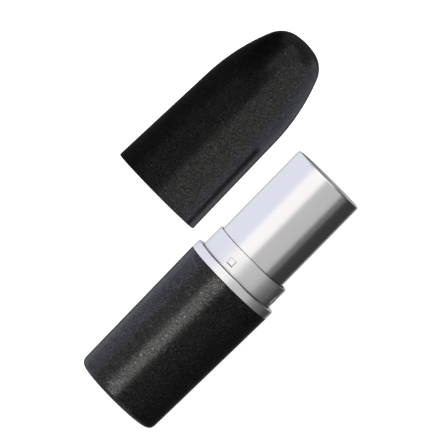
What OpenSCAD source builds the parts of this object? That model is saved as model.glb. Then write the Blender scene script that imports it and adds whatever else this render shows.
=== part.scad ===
// Slim swivel-up lipstick case, lying on its side with its cap taken off beside it.
// Millimetres. +X runs along the case from its flat foot to its open end, +Z is up, and the cap lies
// on the +Y side. The origin is the centre of the foot's flat face.

/* [Lipstick cup] */
// Radius of the bore that holds the lipstick
cup_bore_r = 6.05; // [5:0.05:7.3]
// Depth of that bore
cup_bore_len = 8.5; // [7:0.1:10.2]
// Wall of the cup
cup_wall = 0.4; // [0.33:0.01:0.5]
// Thickness of the cup's floor
cup_floor = 1; // [0.8:0.1:1.3]
// Height of the skirt below the floor, which carries the lugs
cup_skirt = 2.5; // [2.2:0.1:3]
// Wall of that skirt
cup_skirt_wall = 1.05; // [0.8:0.05:1.3]
// Radius of the two lugs
lug_r = 0.8; // [0.6:0.05:0.96]
// Depth of the raised cup's edge below the tube's rim
cup_sink = 1; // [0.8:0.1:3]

/* [Mechanism] */
// Rise of the cup for one turn of the tube
lead = 22; // [18:0.5:27]
// Wall of the slotted inner tube
fork_wall = 0.5; // [0.4:0.05:0.6]
// Wall of the sleeve with the helical grooves
sleeve_wall = 0.62; // [0.56:0.02:0.75]
// Depth of the grooves into that wall
groove_depth = 0.4; // [0.35:0.01:0.44]
// Thickness of the flange that the sleeve stands on
flange = 0.9; // [0.7:0.1:1.2]
// Length of the solid hub above the flange
hub_len = 3.8; // [3.6:0.1:5]
// Thickness of the lip that keeps the sleeve on the inner tube
lip = 0.7; // [0.5:0.05:0.9]
// Depth of that lip below the tube's rim
lip_sink = 0.7; // [0.6:0.05:1.2]
// Lean of the mechanism and tube in the base, towards the cap, in degrees
lean = 0.6; // [0:0.05:0.6]
// Radius of the foot that plugs into the base
foot_plug_r = 5; // [4.2:0.1:6]
// Radius of the core moulded into the foot and hub
core_r = 3.2; // [2.6:0.1:3.8]
// Height of the brake ring
brake_len = 1.2; // [1:0.1:1.5]
// Depth of the brake ring's groove in the hub
brake_groove = 0.5; // [0.4:0.05:0.6]
// Height of the brake ring's groove above the flange
brake_up = 1.1; // [0.9:0.1:1.3]

/* [Tube and collar] */
// Length of the tube outside the collar
tube_out = 21.7; // [18:0.1:26.2]
// Length of the tube inside the collar
tube_in = 8; // [6.6:0.1:9.6]
// Wall of the tube
tube_wall = 0.4; // [0.33:0.01:0.5]
// Rounding of the tube's rim
rim_round = 0.42; // [0.35:0.01:0.5]
// How far the rim turns in past the tube's bore
rim_turn = 0.3; // [0.2:0.05:0.4]
// Thickness of the turned-in rim
rim_thick = 0.4; // [0.3:0.05:0.5]
// Wall of the collar
collar_wall = 0.45; // [0.37:0.01:0.54]
// Length of the collar above the bead
collar_len = 4.9; // [4.1:0.1:5.9]
// Length of the bead
bead_len = 1.95; // [1.65:0.05:2.5]
// Rounding of the bead's edge towards the open end
bead_round = 0.4; // [0.2:0.05:0.6]
// Rounding of the bead's edge at the base
bead_heel = 0.15; // [0.05:0.05:0.3]
// Length of the skirt glued into the base
skirt_len = 5; // [4.2:0.1:6]
// Side of the square nubs that snap into the cap
nub_size = 1.5; // [1.2:0.1:1.8]
// How far the nubs stand out of the collar
nub_out = 0.17; // [0.12:0.01:0.2]
// Width of the nubs' sloping sides
nub_bevel = 0.2; // [0.1:0.01:0.25]
// Height of the nubs' centre above the bead
nub_up = 1.85; // [1.7:0.05:2.5]
// Turn of the first nub from straight up, towards the cap's side
nub_turn = 16.6; // [0:0.1:45]

/* [Base] */
// Length of the base, from its foot to the bead
base_len = 32.05; // [30:0.05:38.5]
// Wall of the base around the collar's skirt
base_wall = 1.17; // [1:0.01:1.4]
// How much narrower the base is at its foot, in radius
base_taper = 0.58; // [0.2:0.01:0.7]
// Thickness of the base's floor
base_floor = 1.2; // [1:0.1:1.4]
// Rounding of the foot's edge
foot_round = 1.3; // [0.5:0.1:1.6]
// Bevel of the base's edge at the bead
base_bevel = 0.15; // [0.05:0.01:0.3]
// Length of the steel slug
weight_len = 4; // [3.3:0.1:4.8]
// Length of the insert that holds the mechanism
insert_len = 4.2; // [3.5:0.1:5]
// Floor of the insert's socket
insert_floor = 0.8; // [0.6:0.1:1]

/* [Cap] */
// Overhang of the cap's mouth past the base, in radius
cap_over = 0.11; // [0:0.01:0.2]
// Wall of the cap
cap_wall = 0.8; // [0.66:0.01:1]
// Taper of the cap's long side, in degrees
cap_taper = 1.72; // [1.5:0.01:2]
// How far inside the tube's rim the nose starts to curve
nose_back = 2.9; // [2.4:0.1:3.5]
// Radius of the long curve of the nose
nose_side_r = 41.7; // [36:0.1:46]
// Slope where that curve meets the shoulder, in degrees
nose_side_slope = 22.2; // [20:0.1:23]
// Radius of the nose's shoulder
nose_shoulder_r = 5.6; // [5:0.1:6]
// Slope where the shoulder meets the blunt tip, in degrees
nose_tip_slope = 78.2; // [70:0.1:80]
// Depth past the collar of the step inside the mouth
cap_step = 0.2; // [0.1:0.05:0.5]
// Bevel of the mouth's edges
mouth_bevel = 0.15; // [0.1:0.01:0.2]

/* [Cap beside the case] */
// Distance from the bead to the mouth of the cap, along the case
cap_x = 0.6; // [0:0.1:5]
// Gap between the cap and the case, side by side
cap_aside = 2.39; // [1:0.01:10]
// Turn of the cap's nose towards the case, in degrees
cap_yaw = 0.46; // [0:0.01:1]

/* [Clearances] */
// Running gap between two pieces that turn or slide, in radius
run_gap = 0.1; // [0.06:0.01:0.12]
// Gap around a piece that is glued or pressed in, in radius
fix_gap = 0.03; // [0.02:0.01:0.05]
// Gap between the tube and the collar, in radius, with room for the lean
collar_gap = 0.4; // [0.38:0.01:0.48]
// Gap under the mechanism's flange, with room for the lean
seat_gap = 0.1; // [0.09:0.01:0.2]
// Gap between the brake ring and the sleeve, in radius
brake_gap = 0.06; // [0.04:0.01:0.1]
// Gap between the cap's mouth and the collar, in radius
cap_gap = 0.08; // [0.06:0.01:0.1]
// Gap below the lowered cup
rest_gap = 0.4; // [0.3:0.1:0.6]
// Clearance of the lugs in their slots and grooves, all round
lug_gap = 0.15; // [0.12:0.01:0.18]

/* [Hidden] */
$fn = 96;
black = [0.09, 0.09, 0.1];
silver = [0.8, 0.82, 0.85];
steel = [0.55, 0.56, 0.58];
ivory = [0.9, 0.89, 0.84];
smoke = [0.25, 0.25, 0.27];
overrun = 1;                            // how far a cutting shape passes the face that it cuts

// Radii, from the lipstick outwards
cup_r = cup_bore_r + cup_wall;
fork_bore_r = cup_r + run_gap;
fork_r = fork_bore_r + fork_wall;
sleeve_bore_r = fork_r + run_gap;
sleeve_r = sleeve_bore_r + sleeve_wall;
groove_r = sleeve_bore_r + groove_depth;
lug_tip_r = groove_r - lug_gap;
tube_bore_r = sleeve_r + fix_gap;
tube_r = tube_bore_r + tube_wall;
collar_bore_r = tube_r + collar_gap;
collar_r = collar_bore_r + collar_wall;
base_socket_r = collar_r + fix_gap;
base_top_r = base_socket_r + base_wall;
base_foot_r = base_top_r - base_taper;
nub_r = collar_r + nub_out;
cap_mouth_r = base_top_r + cap_over;
cap_bore_r = collar_r + cap_gap;
cap_y = base_top_r + cap_mouth_r + cap_aside;

// Heights along the case
weight_z = base_floor;
insert_z = weight_z + weight_len;
flange_z = insert_z + insert_len + seat_gap;
hub_z = flange_z + flange;
fork_floor_z = hub_z + hub_len;
brake_z = hub_z + brake_up;
bead_z = base_len;
collar_z = bead_z + bead_len;
tube_z = collar_z + collar_len;
rim_z = tube_z + tube_out;
lip_z = rim_z - lip_sink - lip;

// The cup's travel
cup_len = cup_skirt + cup_floor + cup_bore_len;
cup_z = fork_floor_z + rest_gap;
lug_up = cup_skirt - lug_r - run_gap;
lug_z = cup_z + lug_up;
rise = rim_z - cup_sink - cup_len - cup_z;

// The helical grooves: their section is an arc wide enough for the slanted lug
helix_angle = atan(lead / (2 * PI * sleeve_bore_r));
groove_arc = 2 * (lug_r + lug_gap) / sin(helix_angle) / sleeve_bore_r * 180 / PI;
groove_runout = lug_r + 3 * lug_gap;
groove_len = rise + 2 * groove_runout;
groove_twist = 360 * groove_len / lead;
groove_slices = ceil(groove_twist / 12);

// The nose of the cap: a long arc, a shoulder and a blunt tip, each tangent to the next
cap_side = collar_len + tube_out - nose_back;
side_r = cap_mouth_r - cap_side * tan(cap_taper);
side_c = [side_r - nose_side_r * cos(cap_taper), cap_side - nose_side_r * sin(cap_taper)];
shoulder = side_c + nose_side_r * [cos(nose_side_slope), sin(nose_side_slope)];
shoulder_c = shoulder - nose_shoulder_r * [cos(nose_side_slope), sin(nose_side_slope)];
tip = shoulder_c + nose_shoulder_r * [cos(nose_tip_slope), sin(nose_tip_slope)];
nose_tip_r = tip[0] / cos(nose_tip_slope);
tip_c = [0, tip[1] - nose_tip_r * sin(nose_tip_slope)];

// The plane that the case and the cap lie on
ground = -base_top_r;

// A tube standing on z
module ring(r_out, r_in, z, len) {
    translate([0, 0, z])
        difference() {
            cylinder(h = len, r = r_out);
            translate([0, 0, -overrun])
                cylinder(h = len + 2 * overrun, r = r_in);
        }
}

// A disc standing on z
module disc(r, z, len) {
    translate([0, 0, z])
        cylinder(h = len, r = r);
}

// What a rounded edge leaves off an outer corner of a section; up is 1 at a top corner, -1 at a bottom one
module corner(x, z, r, up) {
    translate([x - r, z - up * r])
        scale([1, up])
            difference() {
                square(r + overrun);
                circle(r);
            }
}

// Lays a piece that stands on z along the case's axis
module lay() {
    rotate([0, 90, 0])
        children();
}

// Lays a piece of the mechanism, which leans a little about the foot of its flange
module lay_aslant() {
    translate([flange_z, 0, 0])
        rotate(lean)
            translate([-flange_z, 0, 0])
                lay()
                    children();
}

module base_shell() {
    color(black)
        lay()
            difference() {
                rotate_extrude()
                    difference() {
                        polygon([[0, 0], [base_foot_r, 0], [base_top_r, base_len - base_bevel],
                                 [base_top_r - base_bevel, base_len], [0, base_len]]);
                        corner(base_foot_r, 0, foot_round, -1);
                    }
                disc(collar_bore_r, base_floor, base_len);
                disc(base_socket_r, bead_z - skirt_len, base_len);
            }
}

module base_weight() {
    color(steel)
        lay()
            disc(collar_bore_r - run_gap, weight_z, weight_len);
}

module base_insert() {
    color(smoke)
        lay()
            difference() {
                disc(collar_bore_r - fix_gap, insert_z, insert_len);
                disc(foot_plug_r + run_gap, insert_z + insert_floor, insert_len);
            }
}

module collar() {
    color(silver)
        lay() {
            rotate_extrude()
                difference() {
                    union() {
                        translate([collar_bore_r, bead_z - skirt_len])
                            square([collar_wall, skirt_len + bead_len + collar_len]);
                        translate([collar_bore_r, bead_z])
                            square([base_top_r - collar_bore_r, bead_len]);
                    }
                    corner(base_top_r, bead_z, bead_heel, -1);
                    corner(base_top_r, collar_z, bead_round, 1);
                    corner(collar_r, tube_z, collar_wall / 3, 1);
                }
            for (quarter = [0:3])
                rotate(180 - nub_turn + quarter * 90)
                    nub();
        }
}

// One nub on the +X side: its four sides slope, and its face is curved like the collar
module nub() {
    slope = nub_bevel / nub_out;
    foot_x = collar_r - collar_wall / 2;
    foot_y = nub_size / 2 + (collar_r - foot_x) * slope;
    top_x = nub_r + nub_out;
    top_y = foot_y - (top_x - foot_x) * slope;
    section = [[foot_x, -foot_y], [top_x, -top_y], [top_x, top_y], [foot_x, foot_y]];
    intersection() {
        disc(nub_r, collar_z, collar_len);
        translate([0, 0, collar_z + nub_up])
            linear_extrude(height = 2 * foot_y, center = true)
                polygon(section);
        translate([0, 0, collar_z + nub_up])
            rotate([90, 0, 0])
                linear_extrude(height = 2 * foot_y, center = true)
                    polygon(section);
    }
}

module inner_fork() {
    color(ivory)
        lay_aslant()
            difference() {
                union() {
                    disc(foot_plug_r, insert_z + insert_floor + run_gap, flange_z - insert_z);
                    disc(collar_bore_r - run_gap, flange_z, flange);
                    disc(fork_r, flange_z, rim_z - lip_sink - flange_z);
                    disc(sleeve_bore_r + groove_depth, lip_z, lip);
                }
                disc(core_r, insert_z, fork_floor_z - insert_z - flange);
                disc(fork_bore_r, fork_floor_z, rim_z);
                ring(fork_r + overrun, fork_r - brake_groove, brake_z, brake_len);
                for (side = [0, 180])
                    rotate(side)
                        translate([0, -lug_r - lug_gap, lug_z - lug_r - lug_gap])
                            cube([fork_r + overrun, 2 * (lug_r + lug_gap), rise + 2 * (lug_r + lug_gap)]);
            }
}

module brake_ring() {
    color(smoke)
        lay_aslant()
            ring(sleeve_bore_r - brake_gap, fork_r - brake_groove + fix_gap, brake_z + fix_gap,
                 brake_len - 2 * fix_gap);
}

module tube_shell() {
    color(silver)
        lay_aslant()
            rotate_extrude()
                difference() {
                    union() {
                        translate([tube_bore_r, tube_z - tube_in])
                            square([tube_wall, tube_in + tube_out]);
                        translate([tube_bore_r - rim_turn, rim_z - rim_thick])
                            square([tube_wall + rim_turn, rim_thick]);
                    }
                    corner(tube_r, rim_z, rim_round, 1);
                }
}

module spiral_sleeve() {
    color(ivory)
        lay_aslant()
            difference() {
                ring(sleeve_r, sleeve_bore_r, hub_z + run_gap, lip_z - hub_z - 2 * run_gap);
                for (side = [0, 180])
                    rotate(side)
                        groove();
            }
}

// One helical groove, which passes the +X side at the height of the lowered lug
module groove() {
    bottom = lug_z - groove_runout;
    translate([0, 0, bottom])
        rotate(360 * groove_runout / lead)
            linear_extrude(height = groove_len, twist = groove_twist, slices = groove_slices, segments = 8)
                polygon(concat(
                    [for (a = [-0.5:0.25:0.5]) (sleeve_bore_r - groove_depth) * [cos(a * groove_arc), sin(a * groove_arc)]],
                    [for (a = [0.5:-0.25:-0.5]) groove_r * [cos(a * groove_arc), sin(a * groove_arc)]]));
}

module pomade_cup() {
    color(smoke)
        lay_aslant()
            difference() {
                union() {
                    disc(cup_r, cup_z, cup_len);
                    for (side = [0, 180])
                        rotate(side)
                            translate([cup_r - cup_wall, 0, lug_z])
                                rotate([0, 90, 0])
                                    cylinder(h = lug_tip_r - cup_r + cup_wall, r = lug_r);
                }
                disc(cup_bore_r, cup_z + cup_skirt + cup_floor, cup_bore_len + overrun);
                disc(cup_r - cup_skirt_wall, cup_z - overrun, cup_skirt + overrun);
            }
}

// The part of a half section between two heights
module slab(low, high) {
    intersection() {
        polygon([[0, low], [cap_mouth_r, low], [cap_mouth_r, high], [0, high]]);
        children();
    }
}

// Half section of the cap's outer shape, moved inwards by inset
module cap_section(inset) {
    z1 = cap_side - inset * sin(cap_taper);
    z2 = shoulder[1] - inset * sin(nose_side_slope);
    z3 = tip[1] - inset * sin(nose_tip_slope);
    z4 = tip_c[1] + nose_tip_r - inset;
    polygon([[0, 0], [cap_mouth_r - inset / cos(cap_taper), 0],
             [side_r - inset * cos(cap_taper), z1], [0, z1]]);
    slab(z1, z2)
        translate(side_c)
            circle(nose_side_r - inset, $fn = 360);
    slab(z2, z3) {
        square([shoulder_c[0], z3]);
        translate(shoulder_c)
            circle(nose_shoulder_r - inset);
    }
    slab(z3, z4)
        translate(tip_c)
            circle(nose_tip_r - inset);
}

module cap() {
    land = collar_len + cap_step;
    snap = nub_size + 2 * cap_gap;
    color(black)
        translate([collar_z + cap_x, cap_y, ground + cap_mouth_r * cos(cap_taper)])
            rotate([0, cap_taper, -cap_yaw])
                lay()
                    rotate_extrude()
                        difference() {
                            cap_section(0);
                            difference() {
                                cap_section(cap_wall);
                                square([cap_mouth_r, land]);
                            }
                            translate([0, -overrun])
                                square([cap_bore_r, land + overrun]);
                            translate([0, nub_up - snap / 2])
                                square([nub_r + cap_gap, snap]);
                            polygon([[cap_bore_r, mouth_bevel], [cap_bore_r, 0], [cap_bore_r + mouth_bevel, 0]]);
                            polygon([[cap_mouth_r, mouth_bevel], [cap_mouth_r - mouth_bevel, 0],
                                     [cap_mouth_r + overrun, 0], [cap_mouth_r + overrun, mouth_bevel]]);
                        }
}

base_shell();
base_weight();
base_insert();
collar();
inner_fork();
brake_ring();
tube_shell();
spiral_sleeve();
pomade_cup();
cap();
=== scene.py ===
import math

import bpy
from mathutils import Matrix, Vector


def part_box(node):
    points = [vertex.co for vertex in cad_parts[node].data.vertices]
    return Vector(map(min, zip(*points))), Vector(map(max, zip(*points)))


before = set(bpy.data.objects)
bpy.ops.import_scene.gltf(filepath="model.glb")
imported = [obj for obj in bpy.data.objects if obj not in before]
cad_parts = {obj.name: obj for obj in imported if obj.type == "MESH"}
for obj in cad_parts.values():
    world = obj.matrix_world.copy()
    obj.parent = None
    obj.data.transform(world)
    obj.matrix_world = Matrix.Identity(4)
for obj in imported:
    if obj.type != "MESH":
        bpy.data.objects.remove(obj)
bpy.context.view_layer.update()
scene = bpy.context.scene
scene.view_settings.view_transform = "Standard"

MM = 0.001
AXIS_X = Vector((1, 0, 0))
AXIS_Y = Vector((0, 1, 0))
# The tube and the mechanism lean in the base, about this point
LEAN = math.radians(0.6)
LEAN_FROM = 9.5 * MM


# ---------------------------------------------------------------- where things are
base_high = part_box("base_shell")[1]
ground = -base_high.z


# ---------------------------------------------------------------- node helpers
class Nodes:
    """A material's node tree, with short ways to add and link nodes."""

    def __init__(self, name):
        self.material = bpy.data.materials.new(name)
        self.material.use_nodes = True
        self.tree = self.material.node_tree
        self.tree.nodes.clear()
        self.output = self.tree.nodes.new("ShaderNodeOutputMaterial")
        self.shader = self.tree.nodes.new("ShaderNodeBsdfPrincipled")
        self.link(self.shader.outputs[0], self.output.inputs["Surface"])
        self.place = self.tree.nodes.new("ShaderNodeTexCoord").outputs["Object"]

    def link(self, a, b):
        self.tree.links.new(a, b)

    def put(self, value, socket):
        """Sets a socket to a number, a colour or another node's output."""
        if isinstance(value, bpy.types.NodeSocket):
            self.link(value, socket)
        elif isinstance(value, tuple):
            socket.default_value = (*value, 1)
        else:
            socket.default_value = value

    def set(self, **values):
        for name, value in values.items():
            self.put(value, self.shader.inputs[name.replace("_", " ")])

    def math(self, operation, a, b=0.0):
        n = self.tree.nodes.new("ShaderNodeMath")
        n.operation = operation
        self.put(a, n.inputs[0])
        self.put(b, n.inputs[1])
        return n.outputs[0]

    def scaled(self, x, y, z):
        n = self.tree.nodes.new("ShaderNodeMapping")
        self.link(self.place, n.inputs["Vector"])
        n.inputs["Scale"].default_value = (x, y, z)
        return n.outputs[0]

    def radius(self):
        """Distance from the leaning axis of the mechanism."""
        split = self.tree.nodes.new("ShaderNodeSeparateXYZ")
        self.link(self.place, split.inputs[0])
        lean = self.math("MULTIPLY", self.math("SUBTRACT", split.outputs["X"], LEAN_FROM), math.tan(LEAN))
        across = self.math("SUBTRACT", split.outputs["Y"], lean)
        upward = split.outputs["Z"]
        squares = self.math("ADD", self.math("POWER", across, 2.0), self.math("POWER", upward, 2.0))
        return self.math("SQRT", squares)

    def noise(self, scale, detail=2.0, rough=0.5, place=None):
        n = self.tree.nodes.new("ShaderNodeTexNoise")
        self.link(place or self.place, n.inputs["Vector"])
        n.inputs["Scale"].default_value = scale
        n.inputs["Detail"].default_value = detail
        n.inputs["Roughness"].default_value = rough
        return n.outputs["Fac"]

    def ramp(self, value, *stops):
        """Blends from one colour to another along a value, between two (position, colour) stops."""
        n = self.tree.nodes.new("ShaderNodeValToRGB")
        self.link(value, n.inputs["Fac"])
        for element, (position, colour) in zip(n.color_ramp.elements, stops):
            element.position = position
            element.color = (*colour, 1)
        return n.outputs["Color"]

    def span(self, value, low, high, to_low, to_high):
        """Maps low to high onto to_low to to_high, and stays at their ends outside it."""
        n = self.tree.nodes.new("ShaderNodeMapRange")
        self.put(value, n.inputs["Value"])
        for name, number in (("From Min", low), ("From Max", high), ("To Min", to_low), ("To Max", to_high)):
            n.inputs[name].default_value = number
        return n.outputs["Result"]

    def mix(self, factor, a, b):
        n = self.tree.nodes.new("ShaderNodeMix")
        n.data_type = "RGBA"
        self.put(factor, n.inputs["Factor"])
        self.put(a, n.inputs["A"])
        self.put(b, n.inputs["B"])
        return n.outputs["Result"]

    def bump(self, height, strength, distance):
        n = self.tree.nodes.new("ShaderNodeBump")
        self.link(height, n.inputs["Height"])
        n.inputs["Strength"].default_value = strength
        n.inputs["Distance"].default_value = distance
        self.link(n.outputs["Normal"], self.shader.inputs["Normal"])


# ---------------------------------------------------------------- materials
# The rim's turned-in edge is the only part of the tube that lies within this radius
RIM_EDGE = 7.6 * MM
# Roughness there, and the width over which it comes in
DULL = 0.75
DULL_EDGE = 0.1 * MM


def black_lacquer(name):
    """Satin black lacquer full of very fine metallic flecks."""
    n = Nodes(name)
    flecks = n.span(n.noise(4800, 2.0, 0.6), 0.40, 0.68, 0.0, 1.0)
    cloud = n.span(n.noise(350, 3.0, 0.6), 0.3, 0.7, 0.85, 1.15)
    amount = n.math("MULTIPLY", flecks, cloud)
    dust = n.ramp(amount, (0.0, (0.018, 0.018, 0.0185)), (1.0, (0.145, 0.143, 0.140)))
    sparks = n.span(n.noise(3600, 1.0), 0.66, 0.76, 0.0, 1.0)
    hue = n.ramp(n.noise(900, 1.0), (0.4, (0.47, 0.39, 0.32)), (0.6, (0.34, 0.38, 0.46)))
    n.set(Base_Color=n.mix(sparks, dust, hue), Metallic=0.75)
    n.set(Roughness=n.span(n.noise(2600, 2.0), 0.3, 0.7, 0.21, 0.26), Specular_IOR_Level=0.45)
    n.bump(n.noise(4200, 2.0, 0.6), 1.0, 0.015 * MM)
    return n.material


def bright_silver(name, rough, dull_within=0.0):
    """Anodised aluminium: satin, with a very fine grain and faint lathe lines, and dull within a radius."""
    n = Nodes(name)
    lines = n.noise(1.0, 2.0, 0.5, n.scaled(9000, 60, 60))
    grain = n.noise(5200, 2.0)
    tone = n.ramp(grain, (0.3, (0.84, 0.828, 0.842)), (0.7, (0.885, 0.873, 0.887)))
    n.set(Base_Color=tone, Metallic=1.0)
    outside = n.span(grain, 0.3, 0.7, rough - 0.025, rough + 0.025)
    inside = n.span(n.radius(), dull_within, dull_within - DULL_EDGE, 0.0, DULL)
    n.set(Roughness=n.math("MAXIMUM", outside, inside))
    n.bump(n.math("ADD", lines, grain), 0.03, 0.004 * MM)
    return n.material


def plain_plastic(name, colour, rough):
    """Moulded plastic with a faint spark-eroded grain."""
    n = Nodes(name)
    lighter = tuple(min(1, c * 1.25 + 0.005) for c in colour)
    n.set(Base_Color=n.ramp(n.noise(700, 3.0), (0.35, colour), (0.7, lighter)))
    sheen = n.span(n.noise(1500, 2.0), 0.3, 0.7, rough - 0.05, rough + 0.07)
    n.set(Roughness=sheen, Specular_IOR_Level=0.5)
    n.bump(n.noise(4000, 3.0, 0.6), 0.1, 0.04 * MM)
    return n.material


def turned_steel(name):
    """Plain steel slug with turning marks across its ends."""
    n = Nodes(name)
    marks = n.noise(1.0, 2.0, 0.5, n.scaled(8000, 90, 90))
    tone = n.ramp(n.noise(400, 3.0), (0.3, (0.42, 0.42, 0.43)), (0.7, (0.56, 0.56, 0.57)))
    n.set(Base_Color=tone, Metallic=1.0)
    n.set(Roughness=n.span(marks, 0.3, 0.7, 0.3, 0.45))
    n.bump(marks, 0.15, 0.03 * MM)
    return n.material


finishes = {
    "base_shell": black_lacquer("base_black"),
    "cap": black_lacquer("cap_black"),
    "collar": bright_silver("collar_silver", 0.33),
    "tube_shell": bright_silver("tube_silver", 0.23, RIM_EDGE),
    "base_weight": turned_steel("weight_steel"),
    "base_insert": plain_plastic("insert_plastic", (0.11, 0.11, 0.12), 0.45),
    "inner_fork": plain_plastic("fork_plastic", (0.15, 0.15, 0.16), 0.4),
    "brake_ring": plain_plastic("brake_silicone", (0.26, 0.26, 0.27), 0.6),
    "spiral_sleeve": plain_plastic("sleeve_plastic", (0.18, 0.18, 0.19), 0.4),
    "pomade_cup": plain_plastic("cup_plastic", (0.09, 0.09, 0.1), 0.3),
}
for node, material in finishes.items():
    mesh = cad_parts[node].data
    mesh.materials.clear()
    mesh.materials.append(material)


# ---------------------------------------------------------------- camera
CAMERA_AWAY = 850 * MM
TILT = math.radians(3.7)
ROLL = math.radians(45)
# What the longer side of the picture spans at the object, and Blender's sensor width in millimetres
FIELD = 86.9 * MM
SENSOR = 36
aim = Vector((38.84 * MM, 11.05 * MM, 0))
back = Vector((math.sin(TILT), 0, math.cos(TILT)))
along = Vector((math.cos(TILT), 0, -math.sin(TILT)))
side = back.cross(along)
right = along * math.cos(ROLL) - side * math.sin(ROLL)
up = back.cross(right)
camera_data = bpy.data.cameras.new("camera")
camera_data.sensor_width = SENSOR
camera_data.lens = SENSOR * CAMERA_AWAY / FIELD
camera_data.clip_start = 0.05
camera_data.clip_end = 20
camera = bpy.data.objects.new("camera", camera_data)
scene.collection.objects.link(camera)
pose = Matrix((right, up, back)).transposed().to_4x4()
pose.translation = aim + back * CAMERA_AWAY
camera.matrix_world = pose
scene.camera = camera


# ---------------------------------------------------------------- floor
FLOOR_SIZE = 6
FLOOR_GAP = 0.02 * MM
bpy.ops.mesh.primitive_plane_add(size=FLOOR_SIZE, location=(0, 0, ground - FLOOR_GAP))
floor = bpy.context.object
floor.name = "floor"
floor_nodes = Nodes("floor_white")
floor_nodes.set(Base_Color=(0.8, 0.8, 0.8), Roughness=0.9)
floor_nodes.set(Emission_Color=(1.0, 1.0, 1.0), Emission_Strength=0.75)
floor.data.materials.append(floor_nodes.material)
floor.visible_glossy = False
floor.visible_diffuse = False
floor.visible_shadow = False


# ---------------------------------------------------------------- light
# The world is white to the camera and lights the object only this much
AMBIENT = 0.01
world = bpy.data.worlds.new("studio")
world.use_nodes = True
world_nodes = world.node_tree.nodes
seen_by_camera = world_nodes.new("ShaderNodeLightPath").outputs["Is Camera Ray"]
brightness = world_nodes.new("ShaderNodeMapRange")
brightness.inputs["To Min"].default_value = AMBIENT
brightness.inputs["To Max"].default_value = 1
world.node_tree.links.new(seen_by_camera, brightness.inputs["Value"])
world.node_tree.links.new(brightness.outputs["Result"], world_nodes["Background"].inputs["Strength"])
world_nodes["Background"].inputs["Color"].default_value = (1, 1, 1, 1)
scene.world = world

# The softboxes stand this far from the middle of the object. The lengths are along the case
DISTANCE = 0.6
LENGTH = 1.4
SHORT_LENGTH = 0.9
MIDDLE = Vector((35 * MM, 11 * MM, 0))
# A softbox whose direction has more of X than this counts as in line with the case
IN_LINE = 0.9
WARM = (1.0, 0.98, 0.95)
NEUTRAL = (1.0, 1.0, 1.0)
PALE_BLUE = (0.86, 0.9, 1.0)
BLUE = (0.78, 0.83, 1.0)


def group(name, *things):
    collection = bpy.data.collections.new(name)
    for thing in things:
        collection.objects.link(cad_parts[thing] if isinstance(thing, str) else thing)
    return collection


def panel(name, outward, wide, length, radiance, colour, lit, blocking):
    """A softbox that faces the middle of the object from outward, and lights only its own group."""
    data = bpy.data.lights.new(name, "AREA")
    data.shape = "RECTANGLE"
    data.size = length
    data.size_y = wide
    data.energy = radiance * math.pi * length * wide
    data.color = colour
    lamp = bpy.data.objects.new(name, data)
    lamp.location = MIDDLE + outward * DISTANCE
    sideways = AXIS_Y if abs(outward.x) > IN_LINE else AXIS_X
    x = (sideways - outward * sideways.dot(outward)).normalized()
    lamp.rotation_euler = Matrix((x, outward.cross(x), outward)).transposed().to_euler()
    lamp.visible_camera = False
    scene.collection.objects.link(lamp)
    lamp.light_linking.receiver_collection = lit
    lamp.light_linking.blocker_collection = blocking
    return lamp


# Each rig is a few wide softboxes round the long axis. Columns: from and to in degrees from straight up,
# towards the cap for the case's rigs and towards the case for the cap's, then level, tint and length
SILVER_RIG = (
    (-150, -80, 0.03, NEUTRAL, LENGTH),
    (-80, -60, 0.15, NEUTRAL, LENGTH),
    (-60, 2, 0.55, NEUTRAL, LENGTH),
    (2, 48, 1.1, WARM, LENGTH),
    (48, 150, 0.95, PALE_BLUE, LENGTH),
)
BASE_RIG = (
    (-150, -70, 0.03, NEUTRAL, LENGTH),
    (-70, 2, 0.07, NEUTRAL, LENGTH),
    (2, 32, 1.6, WARM, LENGTH),
    (32, 75, 0.3, NEUTRAL, LENGTH),
    (75, 150, 0.65, BLUE, LENGTH),
)
# The card below stands in the way of the softbox between these angles
CARDED = (97, 128)
# The two on the cap's outer side reach less far past its nose than the rest
CAP_RIG = (
    (-150, -70, 0.04, NEUTRAL, SHORT_LENGTH),
    (-70, 2, 0.1, NEUTRAL, SHORT_LENGTH),
    (2, 75, 0.4, WARM, LENGTH),
    (75, 97, 0.55, BLUE, LENGTH),
    (*CARDED, 0.55, BLUE, LENGTH),
    (128, 150, 0.5, BLUE, LENGTH),
)

case_nodes = [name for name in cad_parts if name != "cap"]
silver_side = group("lit_with_silver", *[name for name in case_nodes if name != "base_shell"])
base_side = group("lit_with_base", "base_shell")
cap_side = group("lit_with_cap", "cap")
case_alone = group("case_alone", *case_nodes)

# An upright card that no camera sees, between the case and the half of the cap nearer its mouth.
# It blocks only one softbox of the cap's rig, the one between the CARDED angles
CARD_END = 55.2 * MM
CARD_LENGTH = 30 * MM
CARD_HEIGHT = 14 * MM
CARD_Y = 10 * MM
CARD_Z = -3 * MM
card_middle = (CARD_END - CARD_LENGTH / 2, CARD_Y, CARD_Z)
bpy.ops.mesh.primitive_plane_add(size=1, location=card_middle, rotation=(math.pi / 2, 0, 0))
card = bpy.context.object
card.name = "card"
card.scale = (CARD_LENGTH, CARD_HEIGHT, 1)
card.data.materials.append(floor_nodes.material)
for rays in ("camera", "diffuse", "glossy", "transmission"):
    setattr(card, f"visible_{rays}", False)

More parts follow.
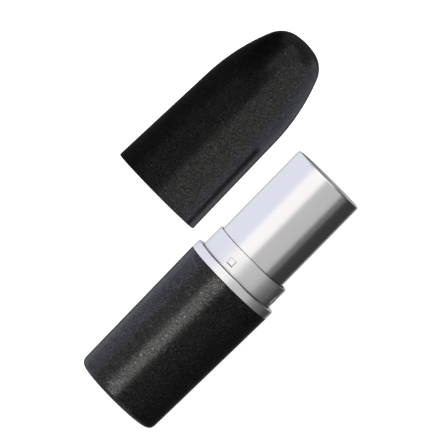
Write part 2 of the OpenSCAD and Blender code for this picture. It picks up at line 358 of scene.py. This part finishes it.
rigs = (
    ("silver", SILVER_RIG, 1, silver_side, case_alone),
    ("base", BASE_RIG, 1, base_side, case_alone),
    ("cap", CAP_RIG, -1, cap_side, cap_side),
)
for rig, boxes, way, lit, blocking in rigs:
    for low, high, level, tint, length in boxes:
        angle = way * math.radians((low + high) / 2)
        outward = Vector((0, math.sin(angle), math.cos(angle)))
        wide = 2 * DISTANCE * math.tan(math.radians((high - low) / 2))
        lamp = panel(f"{rig}_{low}", outward, wide, length, level, tint, lit, blocking)
        lamp.location.x -= (LENGTH - length) / 2
        if rig == "cap" and (low, high) == CARDED:
            lamp.light_linking.blocker_collection = group("cap_and_card", "cap", card)

# Each rig also has a softbox below, in front and behind. The silver's front one is smaller, and stands
# higher and a little towards the cap
BELOW = Vector((0, 0, -1))
BELOW_WIDTH = 0.7
IN_FRONT = Vector((1, 0, 0))
BEHIND = Vector((-1, 0, 0))
END_SIZE = 1.2
RAISED_FRONT = Vector((0.91, 0.16, 0.38)).normalized()
RAISED_SIZE = 0.62
# Columns: rig, levels below, in front and behind, direction and size of the front one, light linking
ends = (
    ("silver", 0.5, 0.9, 0.6, RAISED_FRONT, RAISED_SIZE, silver_side, case_alone),
    ("base", 0.10, 0.02, 0.3, IN_FRONT, END_SIZE, base_side, case_alone),
    ("cap", 0.06, 0.13, 0.4, IN_FRONT, END_SIZE, cap_side, cap_side),
)
for rig, below, front, behind, ahead, size, lit, blocking in ends:
    panel(f"{rig}_floor", BELOW, BELOW_WIDTH, LENGTH, below, NEUTRAL, lit, blocking)
    panel(f"{rig}_nose", ahead, size, size, front, NEUTRAL, lit, blocking)
    panel(f"{rig}_foot", BEHIND, END_SIZE, END_SIZE, behind, NEUTRAL, lit, blocking)

# Three more lights, for the cap's nose, the tube's rim and the collar's side away from the cap.
# Columns: name, direction, width, length, level, light linking
rim_side = group("lit_at_rim", "tube_shell", "spiral_sleeve", "inner_fork")
collar_side = group("lit_with_collar", "collar")
accents = (
    ("cap_overhead", (0.80, 0.2, 0.58), 0.36, 0.5, 0.26, cap_side, cap_side),
    ("tube_rim", (0.9, 0.22, -0.38), 0.46, 0.46, 0.5, rim_side, case_alone),
    ("collar_side", (0, -1, 0.05), 0.5, LENGTH, 0.08, collar_side, case_alone),
)
for name, ahead, wide, length, level, lit, blocking in accents:
    panel(name, Vector(ahead).normalized(), wide, length, level, NEUTRAL, lit, blocking)

# The floor is lit with the silver
silver_side.objects.link(floor)

# The outer pieces don't show in each other, as in the photograph
for name in ("cap", "base_shell", "collar", "tube_shell"):
    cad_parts[name].visible_glossy = False
